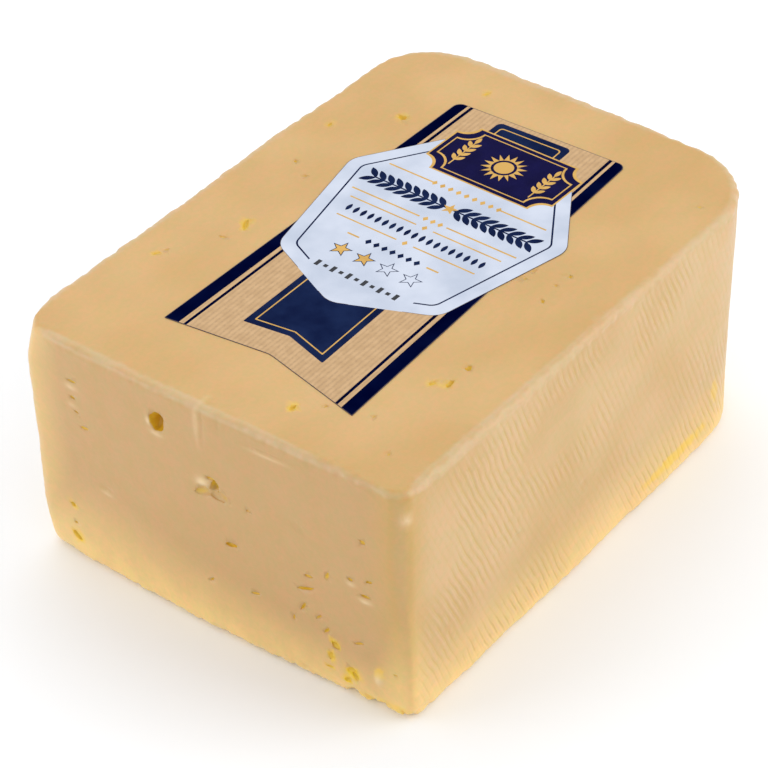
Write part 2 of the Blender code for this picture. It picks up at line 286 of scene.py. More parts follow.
def pull_in(along, across):
    """Share by which square corners' points are pulled in onto the corner's arc."""
    reach = np.hypot(along, across)
    share = np.maximum(along, across) / np.maximum(reach, 1e-12)
    return np.where((along > 0.0) & (across > 0.0), 1.0 - share, 0.0)


def walls_beside(places):
    """Each place's distance in from the nearest wall, and the direction out through it."""
    radius, along, across = beside_corner(places)
    reach = np.maximum(np.hypot(along, across), 1e-12)
    corner = (along > 0.0) & (across > 0.0)
    end = along > across
    depth = np.where(corner, radius - reach, radius - np.where(end, along, across))
    outward = np.zeros((len(places), 3))
    outward[:, 0] = np.where(corner, along / reach, np.where(end, 1.0, 0.0))
    outward[:, 1] = np.where(corner, across / reach, np.where(end, 0.0, 1.0))
    outward[:, :2] *= np.sign(places[:, :2])
    return depth, outward


def rounded(places):
    """The true block's places with its upright corners and its rims made round."""
    _, along, across = beside_corner(places)
    pull = pull_in(along, across)
    places = places.copy()
    places[:, 0] -= np.sign(places[:, 0]) * along * pull
    places[:, 1] -= np.sign(places[:, 1]) * across * pull
    depth, outward = walls_beside(places)
    middle = BLOCK_HEIGHT / 2.0
    radius = np.where(places[:, 2] > middle, TOP_RIM_RADIUS, FOOT_RIM_RADIUS)
    inward = radius - depth
    upward = np.abs(places[:, 2] - middle) - (middle - radius)
    pull = pull_in(inward, upward)
    places -= outward * (inward * pull)[:, None]
    places[:, 2] -= np.sign(places[:, 2] - middle) * upward * pull
    return places


def uneven(places):
    """The rounded block's places after the swellings, waves and wear of its walls."""
    depth, outward = walls_beside(places)
    height_share = places[:, 2] / BLOCK_HEIGHT
    wall_share = np.clip(1.0 - depth / CALM_TOP_MARGIN, 0.0, None)
    move = outward * (WANDER_DEPTH * wander(places, WANDER_LENGTH) * wall_share)[:, None]
    lift = WANDER_DEPTH * wander(places, WANDER_LENGTH, (7.0, 3.0, 5.0)) * wall_share
    move[:, 2] += np.where(height_share > 0.5, lift * height_share ** 6, 0.0)
    for wall, middle, height, amount in WALL_MOVES:
        place = places[:, 1] if wall[1] == 0.0 else places[:, 0]
        along = (place - middle * MM) / MOVE_REACH_ALONG
        up = (places[:, 2] - height * MM) / MOVE_REACH_UP
        near = np.clip(1.0 - along ** 2 - up ** 2, 0.0, None) ** 2
        faces = np.clip(outward @ np.array(wall), 0.0, None) ** 2
        move += np.array(wall) * (amount * MM * near * faces * wall_share)[:, None]
    for shares, reach, worn in WORN_CORNERS:
        corner = np.array((shares[0] * BLOCK_LENGTH, shares[1] * BLOCK_WIDTH, 0.0)) / 2.0
        corner[2] = shares[2] * BLOCK_HEIGHT
        near = np.clip(1.0 - np.linalg.norm(places - corner, axis=1) / reach, 0.0, None)
        to_middle = np.array((0.0, 0.0, BLOCK_HEIGHT / 2.0)) - corner
        to_middle /= np.linalg.norm(to_middle)
        move += to_middle * (worn * math.sqrt(3.0) * near ** 1.5)[:, None]
    stands = places[:, 2] < 1e-6
    places = places + move
    places[:, 2] = np.where(stands, 0.0, np.clip(places[:, 2], 0.0, None))
    return places


block_mesh = sliced_block_mesh(CELL)
block_form = uneven(rounded(vectors_of(block_mesh.vertices, "co")))
to_frame = np.array([
    (block_low.x + block_high.x - block_form[:, 0].min() - block_form[:, 0].max()) / 2.0,
    (block_low.y + block_high.y - block_form[:, 1].min() - block_form[:, 1].max()) / 2.0,
    0.0,
])
block_form += to_frame
set_points(block_mesh, block_form)

# The mould's cloth printed a slanting twill on the three moulded walls. It is pressed
# into the paste: strokes a few millimetres long, worn smooth in patches and along the
# rims. The cut face and the top are smooth, with only the faint swells of handling.
CLOTH_PITCH = 1.8 * MM
CLOTH_SLANT = math.radians(25.6)
CLOTH_DEPTH = 0.07 * MM
CLOTH_FADE = 7.0 * MM
CLOTH_BEND = 0.35
CLOTH_BEND_LENGTH = 12.0 * MM
CLOTH_WOBBLE_LENGTH = 3.5 * MM
CLOTH_PATCH_LENGTH = 22.0 * MM
CLOTH_BREAK_LENGTH = 3.2 * MM
STROKE_LENGTH = 9.0 * MM
# Where the front's marks are worn off: middle along and up, half length and half height
SMOOTH_PATCH = (-15.0 * MM, 49.0 * MM, 16.0 * MM, 11.0 * MM)
SWELL_DEPTH = 0.10 * MM
SWELL_LENGTH = 9.0 * MM
GRAIN_DEPTH = 0.02 * MM
GRAIN_LENGTH = 1.6 * MM
RIM_RAGGEDNESS = 0.28 * MM
RIM_RAG_LENGTH = 4.5 * MM
EDGE_RAGGEDNESS = 0.26 * MM
EDGE_RAG_LENGTH = 1.9 * MM
RIM_WIDTH = 3.2 * MM
CUT_RIM_WIDTH = 2.2 * MM
CUT_CORNER_WIDTH = 5.5 * MM
EDGE_WIDTH = 4.0 * MM
LABEL_CALM_MARGIN = 3.0 * MM
INSIDE_BOX = 0.02 * MM
# The foot of the cut face has crumbled away, most of all towards the near corner
CRUMBLE_DEPTH = 1.5 * MM
CRUMBLE_HEIGHT = 4.5 * MM
CRUMBLE_LENGTH = 3.2 * MM
CRUMBLE_START = -14.0 * MM
CRUMBLE_FULL = -28.0 * MM
# Raised and sunk spots. The face, Y or X and Z or Y of the middle, width, height and turn
# as seen from outside, and how far the paste stands out, in millimetres and degrees
SWOLLEN_SPOTS = (
    ("cut", 0.9, 46.2, 3.6, 2.4, 25.0, 0.35),
    ("cut", -46.4, 10.6, 2.6, 4.4, -15.0, 0.75),
    ("cut", 15.5, 57.2, 1.6, 2.4, 0.0, 0.3),
    ("cut", 13.6, 54.3, 3.4, 1.4, 0.0, 0.2),
    ("cut", -0.2, 63.5, 1.3, 10.0, 0.0, -0.35),
    ("cut", 1.1, 63.5, 1.4, 10.0, 0.0, 0.25),
    ("cut", 1.6, 56.8, 0.8, 5.0, 0.0, -0.12),
    ("cut", -5.0, 66.0, 0.9, 5.0, 0.0, -0.15),
    ("cut", -18.4, 63.4, 10.0, 0.8, 2.0, -0.22),
    ("cut", -18.4, 62.5, 10.0, 0.9, 2.0, 0.18),
    ("cut", -31.0, 62.7, 5.0, 0.7, -4.0, -0.12),
    ("cut", -26.5, 45.8, 4.6, 2.2, -20.0, -0.35),
    ("cut", -21.4, 39.3, 4.0, 5.0, -25.0, -0.22),
    ("cut", 31.8, 28.2, 3.4, 1.4, 0.0, -0.3),
    ("cut", 31.8, 26.9, 3.4, 1.2, 0.0, 0.15),
    ("cut", 39.0, 56.0, 3.0, 1.2, 0.0, 0.2),
    ("cut", 39.2, 50.4, 2.6, 1.2, 0.0, 0.15),
    ("cut", -44.0, 33.2, 3.0, 1.4, 5.0, 0.3),
    ("cut", -40.4, 36.7, 2.2, 1.4, 0.0, 0.2),
    ("front", -33.0, 28.3, 4.0, 1.6, 0.0, -0.3),
    ("front", -6.0, 25.5, 3.0, 2.4, 0.0, -0.2),
    ("front", -69.0, 33.0, 9.0, 12.0, 30.0, -0.3),
)


def facing(places, face):
    """Across and up coordinates of the places on a face, as seen from outside."""
    if face == "top":
        return places[:, 0], places[:, 1]
    if face == "cut":
        return -places[:, 1], places[:, 2]
    return places[:, 0], places[:, 2]


def on_face(places, face):
    """1 for places at most a few millimetres behind the named face, and 0 elsewhere."""
    if face == "top":
        return ramp(BLOCK_HEIGHT - 6.0 * MM, BLOCK_HEIGHT - 4.0 * MM, places[:, 2])
    if face == "cut":
        return 1.0 - ramp(block_low.x + 4.0 * MM, block_low.x + 6.0 * MM, places[:, 0])
    return 1.0 - ramp(block_low.y + 4.0 * MM, block_low.y + 6.0 * MM, places[:, 1])


def spot_share(places, face, middle_across, middle_up, width, height, turn):
    """1 in the middle of an oval spot on a face, falling smoothly to 0 around it."""
    across, up = facing(places, face)
    if face == "cut":
        middle_across = -middle_across
    across = (across - middle_across * MM) / (width * MM / 2.0)
    up = (up - middle_up * MM) / (height * MM / 2.0)
    ratio = width / height
    turn = math.radians(turn)
    along = across * math.cos(turn) + up * math.sin(turn) / ratio
    beside = up * math.cos(turn) - across * math.sin(turn) * ratio
    return np.exp(-(along * along + beside * beside)) * on_face(places, face)


def cloth_strength(places, front, back, far_end):
    """How strongly the cloth marked each place, from 0 to 1."""
    rim_distance = np.minimum(places[:, 2], BLOCK_HEIGHT - places[:, 2])
    strength = ramp(0.0, CLOTH_FADE, rim_distance)
    strength *= ramp(2.0 * MM, 14.0 * MM, places[:, 0] - block_low.x)
    patches = wander(places, CLOTH_PATCH_LENGTH, (1.0, 6.0, 2.0))
    strength *= 0.25 + 0.75 * ramp(-0.35, 0.15, patches)
    reach = np.hypot(
        (places[:, 0] - SMOOTH_PATCH[0]) / SMOOTH_PATCH[2],
        (places[:, 2] - SMOOTH_PATCH[1]) / SMOOTH_PATCH[3],
    )
    strength *= 1.0 - 0.9 * (1.0 - ramp(0.6, 1.2, reach)) * front
    return strength * np.clip(front + back + far_end, 0.0, 1.0)


def wall_shares(normals):
    """How far each place belongs to the front, the back and the far wall."""
    front = ramp(0.72, 0.95, -normals[:, 1])
    back = ramp(0.72, 0.95, normals[:, 1])
    far_end = (1.0 - front) * (1.0 - back) * ramp(0.25, 0.5, normals[:, 0])
    return front, back, far_end


def way_round(places):
    """The way along the moulded walls: X on the front, then round the far end to the back."""
    ways = []
    ends = []
    for side, radius in ((-1.0, FRONT_CORNER_RADIUS), (1.0, BACK_CORNER_RADIUS)):
        along = places[:, 0] - to_frame[0] - (BLOCK_LENGTH / 2.0 - radius)
        out = side * (places[:, 1] - to_frame[1]) - (BLOCK_WIDTH / 2.0 - radius)
        angle = np.clip(np.arctan2(along, out), 0.0, math.pi / 2.0)
        ways.append(np.minimum(along, 0.0) + radius * angle + np.clip(-out, 0.0, None))
        ends.append(radius * math.pi / 2.0 + BLOCK_WIDTH / 2.0 - radius)
    way = np.where(places[:, 1] < to_frame[1], ways[0], ends[0] + ends[1] - ways[1])
    return BLOCK_LENGTH / 2.0 - FRONT_CORNER_RADIUS + way


def cloth(places, normals):
    """Phase, place along the stroke and strength of the cloth marks at each place."""
    way, up = way_round(places), places[:, 2]
    across_marks = way * math.cos(CLOTH_SLANT) + up * math.sin(CLOTH_SLANT)
    along_marks = up * math.cos(CLOTH_SLANT) - way * math.sin(CLOTH_SLANT)
    bend = CLOTH_BEND * wander(places, CLOTH_BEND_LENGTH, (2.0, 9.0, 4.0))
    bend += 0.4 * CLOTH_BEND * wander(places, CLOTH_WOBBLE_LENGTH, (5.0, 1.0, 2.0))
    strength = cloth_strength(places, *wall_shares(normals))
    return across_marks / CLOTH_PITCH + bend, along_marks, strength


def rim_share(places):
    """1 on the top's rim and on the cut end's two upright corners, 0 away from them."""
    depth, _ = walls_beside(places - to_frame)
    cut_end = 1.0 - ramp(4.0 * MM, 9.0 * MM, places[:, 0] - block_low.x)
    width = RIM_WIDTH - (RIM_WIDTH - CUT_RIM_WIDTH) * cut_end
    level = fade(np.abs(depth), width)
    upper = fade(np.abs(BLOCK_HEIGHT - places[:, 2]), width)
    end = fade(np.abs(places[:, 0] - block_low.x), CUT_CORNER_WIDTH)
    side = fade(BLOCK_WIDTH / 2.0 - np.abs(places[:, 1]), CUT_CORNER_WIDTH)
    top_rim = ramp(0.15, 0.5, level * upper) * (1.0 - 0.15 * cut_end)
    return np.maximum(top_rim, 0.6 * ramp(0.2, 0.6, end * side))


def edge_share(places):
    """1 on every edge of the block, 0 a few millimetres away from them."""
    depth, _ = walls_beside(places - to_frame)
    rim_distance = np.minimum(places[:, 2], BLOCK_HEIGHT - places[:, 2])
    rims = fade(np.abs(depth), EDGE_WIDTH) * fade(rim_distance, EDGE_WIDTH)
    return np.maximum(ramp(0.1, 0.5, rims), rim_share(places))


def crumbled(places):
    """How far, and which way, the paste has broken off along the foot of the cut face."""
    depth, outward = walls_beside(places - to_frame)
    share = 1.0 - ramp(0.0, CRUMBLE_HEIGHT, places[:, 2])
    share *= 1.0 - ramp(1.5 * MM, 7.0 * MM, depth)
    share *= 1.0 - ramp(6.0 * MM, 12.0 * MM, places[:, 0] - block_low.x)
    share *= 0.2 + 0.8 * ramp(-CRUMBLE_START, -CRUMBLE_FULL, -places[:, 1])
    broken = ramp(-0.2, 0.12, wander(places, CRUMBLE_LENGTH, (3.0, 5.0, 9.0)))
    broken += 0.3 * wander(places, CRUMBLE_LENGTH / 2.5, (8.0, 2.0, 6.0))
    return -outward * (CRUMBLE_DEPTH * share * broken)[:, None]


block_normals = vectors_of(block_mesh.vertex_normals, "vector")
phase, _, strength = cloth(block_form, block_normals)
breaks = wander(block_form, CLOTH_BREAK_LENGTH, (9.0, 4.0, 1.0))
broken = 0.4 + 0.6 * ramp(-0.25, 0.15, breaks)
marks = (np.sin(2.0 * math.pi * phase) - 0.4) * strength * broken
under_label = np.ones(len(block_form))
for axis, low, high in ((0, label_low.x, label_high.x), (1, label_low.y, label_high.y)):
    inside = np.minimum(block_form[:, axis] - low, high - block_form[:, axis])
    under_label *= ramp(-LABEL_CALM_MARGIN, LABEL_CALM_MARGIN, inside)
under_label *= ramp(0.7, 0.95, block_normals[:, 2])
relief = CLOTH_DEPTH * marks + (1.0 - 0.85 * under_label) * (
    SWELL_DEPTH * wander(block_form, SWELL_LENGTH, (4.0, 1.0, 8.0))
    + GRAIN_DEPTH * wander(block_form, GRAIN_LENGTH)
)
relief += RIM_RAGGEDNESS * rim_share(block_form) * wander(block_form, RIM_RAG_LENGTH)
relief += EDGE_RAGGEDNESS * edge_share(block_form) * wander(block_form, EDGE_RAG_LENGTH)
for *spot, rise in SWOLLEN_SPOTS:
    relief += rise * MM * spot_share(block_form, *spot)
relief *= ramp(0.0, 0.6 * MM, block_form[:, 2])
uncut_form = block_form + block_normals * relief[:, None] + crumbled(block_form)
uncut_form = np.maximum(uncut_form, np.array(block_low) + INSIDE_BOX)
uncut_form = np.minimum(uncut_form, np.array(block_high) - INSIDE_BOX)
uncut_form[:, 2] = np.where(block_form[:, 2] > 0.0, uncut_form[:, 2], 0.0)
set_points(block_mesh, uncut_form)

# Eyes are the small gas bubbles and curd slits that the wire opened in the cut face, and
# those that lie open in the top. Each is a lumpy hollow in the paste, with a wet wall.
# Along the lower rim of the cut face the paste has crumbled away in notches.
EYE_UNEVENNESS = 0.32
CUT_EYE_RAISE = 0.1
TOP_EYE_RAISE = 0.4
# Y and Z of the middle, or X and Y on the top, then width, height and depth, all in
# millimetres, and the turn in degrees
CUT_FACE_EYES = (
    (0.9, 43.4, 5.6, 2.7, 0.8, 34.0), (-2.4, 46.0, 2.6, 4.6, 2.0, -22.0),
    (-4.6, 44.2, 4.2, 2.8, 0.7, -30.0), (-2.6, 43.9, 5.4, 2.4, 0.8, -12.0),
    (-1.6, 48.2, 2.4, 1.1, 0.6, 0.0),
    (13.1, 58.1, 4.6, 6.2, 3.6, -18.0), (-6.1, 30.6, 3.4, 1.4, 1.2, 12.0),
    (-26.9, 28.1, 5.4, 1.0, 0.8, 25.0), (-28.1, 32.5, 2.4, 0.9, 0.5, 8.0),
    (-33.5, 35.4, 1.1, 3.0, 0.4, -25.0), (-25.7, 21.8, 3.2, 0.8, 0.5, 60.0),
    (-30.0, 20.8, 2.6, 0.7, 0.45, 45.0), (-31.9, 17.5, 3.0, 0.9, 0.5, 52.0),
    (-34.2, 14.0, 2.4, 2.2, 0.8, -20.0), (-32.7, 10.1, 1.4, 2.6, 0.4, -10.0),
    (-41.2, 18.6, 3.0, 0.8, 0.5, 28.0), (-38.4, 8.8, 2.6, 1.8, 0.5, 20.0),
    (-39.6, 7.2, 2.8, 1.5, 0.5, -60.0), (-37.2, 5.0, 1.8, 1.3, 0.4, 25.0),
    (-32.4, 6.5, 2.0, 0.7, 0.35, 10.0),
    (-44.1, 34.7, 2.6, 0.9, 0.6, 5.0), (-45.4, 39.8, 2.0, 0.8, 0.6, 20.0),
    (-40.2, 38.0, 1.4, 1.0, 0.5, 0.0), (-44.1, 50.8, 1.6, 1.2, 0.5, 0.0),
    (38.6, 57.7, 2.8, 0.8, 0.6, 5.0), (38.9, 52.8, 1.5, 0.9, 0.7, -10.0),
    (38.3, 48.8, 1.4, 0.7, 0.4, -10.0), (36.5, 44.6, 2.6, 1.2, 0.45, 10.0),
    (-12.1, 18.8, 2.8, 0.8, 0.5, 15.0), (0.6, 16.8, 2.0, 0.6, 0.35, 45.0),
    (43.8, 17.3, 1.6, 1.4, 0.5, -40.0), (43.6, 11.8, 1.2, 0.8, 0.4, 0.0),
    (43.6, 7.6, 3.4, 1.8, 0.7, -40.0), (-22.7, 16.8, 0.8, 2.0, 0.35, -10.0),
    (-11.9, 43.6, 1.2, 0.8, 0.3, 0.0), (-51.0, 14.0, 1.4, 0.6, 0.3, 0.0),
)
TOP_EYES = (
    (-37.5, 45.6, 2.2, 1.0, 0.6, -35.0), (-35.0, 44.6, 1.6, 0.7, 0.45, -30.0),
    (11.5, 43.0, 1.4, 0.9, 0.6, 50.0), (29.0, 46.1, 2.0, 1.1, 0.5, 20.0),
    (-23.3, 37.2, 0.9, 2.4, 0.4, 15.0), (-16.2, 36.0, 4.8, 1.5, 0.8, 28.0),
    (8.0, 37.1, 1.6, 0.8, 0.45, -45.0), (42.0, 33.4, 2.2, 3.2, 1.2, -15.0),
    (63.0, 22.6, 2.8, 1.4, 0.4, -10.0), (-64.0, -16.5, 2.6, 1.6, 0.7, 5.0),
    (-59.5, -22.2, 1.4, 0.8, 0.4, -30.0), (-39.5, -36.3, 2.4, 1.4, 0.5, -10.0),
    (-37.2, -39.5, 3.4, 1.7, 1.0, 5.0), (-30.3, -39.6, 2.4, 1.8, 1.0, 30.0),
    (-0.2, -38.6, 2.0, 0.9, 0.7, 40.0), (6.5, -37.6, 1.2, 1.0, 0.4, 0.0),
    (11.2, -38.4, 1.6, 1.1, 0.6, 20.0), (8.2, -30.2, 1.6, 0.7, 0.4, -30.0),
    (4.5, -30.4, 1.2, 0.8, 0.35, 0.0), (-64.5, -43.4, 1.8, 1.0, 0.4, 10.0),
    (-56.0, -32.9, 1.4, 0.8, 0.4, -20.0), (52.0, -47.4, 1.4, 1.6, 0.4, 0.0),
)
NOTCH_COUNT = 11
NOTCH_FIRST = -51.5 * MM
NOTCH_LAST = -21.0 * MM
NOTCH_SEED = 11
HOLLOW_ROUNDS = 3
HOLLOW_LAYERS = 4
BLOCK_TRIANGLES = 190000
SMOOTHING_ROUNDS = 4

cut_stand = Matrix(((0.0, 0.0, -1.0), (-1.0, 0.0, 0.0), (0.0, 1.0, 0.0))).to_4x4()
top_stand = Matrix.Identity(4)
block = new_piece("cheese_block", block_mesh)
uncut_surface = BVHTree.FromObject(block, bpy.context.evaluated_depsgraph_get())


def on_top(x, y):
    """The place on the uncut block's top at X and Y."""
    start = Vector((x, y, 2.0 * BLOCK_HEIGHT))
    return uncut_surface.ray_cast(start, Vector((0.0, 0.0, -1.0)))[0]


def hollow_body(form, stand, place, size, turn, lift, seed):
    """Adds one lumpy lens to FORM, LIFT above PLACE, where it cuts its hollow."""
    made = bmesh.ops.create_icosphere(form, subdivisions=HOLLOW_ROUNDS, radius=0.5)["verts"]
    stand = Matrix.Translation(place) @ stand @ Matrix.Rotation(turn, 4, "Z")
    for vertex in made:
        lump = 1.0 + EYE_UNEVENNESS * noise.noise(vertex.co * 3.2 + Vector((seed, 0.0, 0.0)))
        shaped = Vector([share * side * lump for share, side in zip(vertex.co, size)])
        shaped.z += lift
        vertex.co = stand @ shaped


def finished_mesh(piece):
    """The mesh of a piece with its modifiers applied. The modifiers are removed."""
    evaluated = piece.evaluated_get(bpy.context.evaluated_depsgraph_get())
    mesh = bpy.data.meshes.new_from_object(evaluated)
    piece.modifiers.clear()
    return mesh


hollows = []
for across, up, width, height, depth, turn in CUT_FACE_EYES:
    start = Vector((-BLOCK_LENGTH, across * MM, up * MM))
    place = uncut_surface.ray_cast(start, Vector((1.0, 0.0, 0.0)))[0]
    size = Vector((width, height, 2.0 * depth)) * MM
    hollows.append((cut_stand, place, size, math.radians(turn), CUT_EYE_RAISE * depth * MM))
for across, up, width, height, depth, turn in TOP_EYES:
    place = on_top(across * MM, up * MM)
    size = Vector((width, height, 2.0 * depth)) * MM
    hollows.append((top_stand, place, size, math.radians(turn), TOP_EYE_RAISE * depth * MM))
draw = random.Random(NOTCH_SEED)
notch_step = (NOTCH_LAST - NOTCH_FIRST) / (NOTCH_COUNT - 1)
for number in range(NOTCH_COUNT):
    across = NOTCH_FIRST + notch_step * (number + draw.uniform(-0.3, 0.3))
    place = Vector((block_low.x + 0.8 * MM, across, 0.5 * MM))
    size = Vector((draw.uniform(2.0, 3.8), draw.uniform(1.6, 3.6), draw.uniform(2.4, 4.4))) * MM
    hollows.append((cut_stand, place, size, draw.uniform(-0.6, 0.6), 0.0))

for layer in range(HOLLOW_LAYERS):
    form = bmesh.new()
    for number, hollow in enumerate(hollows[layer::HOLLOW_LAYERS]):
        hollow_body(form, *hollow, seed=number * 1.7 + layer)
    cutter_mesh = bpy.data.meshes.new("hollows")
    form.to_mesh(cutter_mesh)
    form.free()
    cutter = new_piece("hollows", cutter_mesh)
    cut = block.modifiers.new("hollows", "BOOLEAN")
    cut.operation = "DIFFERENCE"
    cut.object = cutter
    cut.solver = "MANIFOLD"
    block.data = finished_mesh(block)
    bpy.data.objects.remove(cutter, do_unlink=True)
thin = block.modifiers.new("thin", "DECIMATE")
thin.ratio = min(1.0, BLOCK_TRIANGLES / (2.0 * len(block.data.polygons)))
block_mesh = finished_mesh(block)
block.data = block_mesh
# Thinning can fold a tiny face over, so the points around such a face are evened out
form = bmesh.new()
form.from_mesh(block_mesh)
bmesh.ops.triangulate(form, faces=form.faces[:])
for _ in range(SMOOTHING_ROUNDS):
    form.normal_update()
    folded = set()
    for face in form.faces:
        if face.normal.dot(sum((vertex.normal for vertex in face.verts), Vector())) < 0.0:
            folded.update(face.verts)
    bmesh.ops.smooth_vert(
        form, verts=list(folded), factor=0.5, use_axis_x=True, use_axis_y=True, use_axis_z=True
    )
form.to_mesh(block_mesh)
form.free()
thinned = vectors_of(block_mesh.vertices, "co")
thinned[:, 2] = np.clip(thinned[:, 2], 0.0, None)
set_points(block_mesh, thinned)

# The paste is pale yellow and a little translucent, with a moist sheen: honey on the top
# and the cut face, creamier on the moulded walls, and amber inside the eyes. The rims are
# painted paler, a painted highlight, and the foot and the cut face's left edge golden, a
# painted glow where light comes up through the paste.
TOP_HONEY = (0.575, 0.340, 0.114, 1.0)
TOP_CREAM = (0.620, 0.380, 0.144, 1.0)
WALL_CREAM = (0.615, 0.408, 0.196, 1.0)
WALL_HONEY = (0.565, 0.358, 0.148, 1.0)
CUT_PINK = (0.550, 0.332, 0.136, 1.0)
# Painted highlight: the pale band along the rims and the cut end's upright corners
RIM_HIGHLIGHT_PALE = (0.600, 0.420, 0.230, 1.0)
# Painted glow: golden where light comes up through the paste at the foot and the cut face's left
# edge
PAINTED_GLOW_GOLD = (0.930, 0.645, 0.255, 1.0)
NEAR_HONEY = (0.560, 0.335, 0.098, 1.0)
EYE_YELLOW = (0.690, 0.430, 0.022, 1.0)
EYE_AMBER = (0.640, 0.350, 0.010, 1.0)
FAT_YELLOW = (0.850, 0.545, 0.004, 1.0)
LUMP_PALE = (0.760, 0.560, 0.310, 1.0)
CLOTH_GROOVE = (0.590, 0.385, 0.110, 1.0)
# Painted highlight on the ridges of the cloth marks
CLOTH_RIDGE_HIGHLIGHT = (0.690, 0.450, 0.265, 1.0)
MOTTLE_PINK = (1.050, 0.985, 1.000, 1.0)
MOTTLE_OLIVE = (0.950, 1.010, 0.940, 1.0)
FOOT_HEIGHT = 15.0 * MM
LEFT_GLOW_WIDTH = 13.0 * MM
NEAR_HONEY_WIDTH = 12.0 * MM
BLOTCH_LENGTH = 1.2 * MM
MOISTNESS = (0.36, 0.5)
LIGHT_WEIGHT = 0.25
LIGHT_REACH = 3.0 * MM
LIGHT_SHARES = (1.0, 0.5, 0.2)
# Spots of yellow fat. The face, Y or X and Z or Y of the middle, width, height and turn as
# seen from outside, in millimetres and degrees, and how strong the colour is
YELLOW_SPOTS = (
    ("cut", -38.9, 8.0, 4.2, 4.0, -30.0, 1.0), ("cut", -37.2, 5.0, 2.4, 2.4, 0.0, 1.0),
    ("cut", -32.7, 10.1, 2.6, 3.6, 0.0, 0.7), ("cut", 43.6, 7.6, 4.6, 3.0, -40.0, 0.8),
    ("cut", 43.8, 17.3, 2.4, 2.0, -40.0, 0.6), ("cut", -46.6, 12.2, 3.4, 4.0, 0.0, 0.5),
    ("cut", -32.4, 6.3, 3.0, 1.6, 0.0, 0.6), ("cut", -50.0, 2.5, 12.0, 4.0, 0.0, 0.4),
    ("cut", -34.4, 14.4, 3.4, 2.8, -30.0, 0.9), ("cut", -42.0, 1.5, 8.0, 3.2, 0.0, 0.4),
    ("front", 35.0, 6.6, 30.0, 4.0, 0.0, 0.6), ("front", 53.0, 14.5, 4.0, 8.0, 0.0, 0.4),
    ("top", -16.2, 36.0, 5.4, 2.2, 28.0, 0.5), ("top", -37.5, 45.6, 3.6, 2.2, -35.0, 0.4),
    ("top", 29.0, 46.1, 3.4, 2.2, 0.0, 0.3), ("top", 63.0, 22.6, 4.6, 3.0, 0.0, 0.25),
    ("top", -64.0, -16.5, 3.4, 2.4, 0.0, 0.5), ("top", -39.5, -36.3, 3.4, 2.4, 0.0, 0.35),
    ("top", -37.2, -39.5, 4.2, 2.4, 0.0, 0.35), ("top", 42.0, 33.4, 3.2, 4.2, 0.0, 0.35),
)
# Pale lumps and ridges, given in the same way
PALE_SPOTS = (
    ("cut", 0.9, 46.2, 3.6, 2.4, 25.0, 1.0), ("cut", -46.4, 10.3, 2.2, 3.4, -15.0, 0.9),
    ("cut", 15.5, 57.2, 1.4, 2.2, 0.0, 0.9), ("cut", 13.6, 54.2, 3.4, 1.4, 0.0, 0.6),
    ("cut", 1.1, 63.5, 1.6, 9.0, 0.0, 0.5), ("cut", -18.4, 62.4, 10.0, 0.9, 2.0, 0.5),
    ("cut", -44.0, 33.1, 3.2, 1.4, 5.0, 0.8), ("cut", -40.4, 36.7, 2.2, 1.4, 0.0, 0.6),
    ("cut", 39.0, 55.9, 3.4, 1.6, 0.0, 0.6), ("cut", 39.2, 50.4, 3.0, 1.6, 0.0, 0.4),
    ("cut", 31.8, 26.8, 3.4, 1.2, 0.0, 0.5), ("cut", -54.5, 60.5, 2.0, 3.0, 0.0, 0.8),
)
# The torn eye in the middle of the cut face, where most of the eyes' colour is held back
TORN_EYE = ("cut", -1.8, 44.0, 16.0, 9.0, 0.0)
TORN_EYE_MUTING = 0.9


def attribute(tree, name):
    return add_node(tree, "ShaderNodeAttribute", {"attribute_name": name}, {}).outputs["Fac"]


def blended(tree, share, first, second, kind="MIX"):
    """The colour FIRST, with SECOND blended over it by SHARE."""
    settings = {"data_type": "RGBA", "blend_type": kind, "clamp_factor": True}
    node = add_node(tree, "ShaderNodeMix", settings, {0: share, 6: first, 7: second})
    return node.outputs[2]


def product(tree, first, second):
    return math_node(tree, "MULTIPLY", first, second)


def between(tree, value, low, high, out_low=0.0, out_high=1.0):
    """VALUE's way from LOW to HIGH, smoothly, as a number from OUT_LOW to OUT_HIGH."""
    return add_node(tree, "ShaderNodeMapRange", {"interpolation_type": "SMOOTHSTEP"}, {
        "Value": value, "From Min": low, "From Max": high, "To Min": out_low, "To Max": out_high,
    }).outputs["Result"]


def noise_on(tree, coordinates, size, detail=2.0, roughness=0.5, stretch=None):
    """Noise whose swells are about SIZE across, in metres."""
    if stretch:
        feeds = {"Vector": coordinates, "Scale": stretch}
        coordinates = add_node(tree, "ShaderNodeMapping", {}, feeds).outputs["Vector"]
    return add_node(tree, "ShaderNodeTexNoise", {}, {
        "Vector": coordinates, "Scale": 1.0 / size, "Detail": detail, "Roughness": roughness,
    }).outputs["Fac"]


def bump_on(tree, height, distance, strength, under=None):
    """A bump of HEIGHT, on top of the normal that comes from UNDER if there is one."""
    feeds = {"Height": height, "Distance": distance, "Strength": strength}
    if under is not None:
        feeds["Normal"] = under
    return add_node(tree, "ShaderNodeBump", {}, feeds).outputs["Normal"]


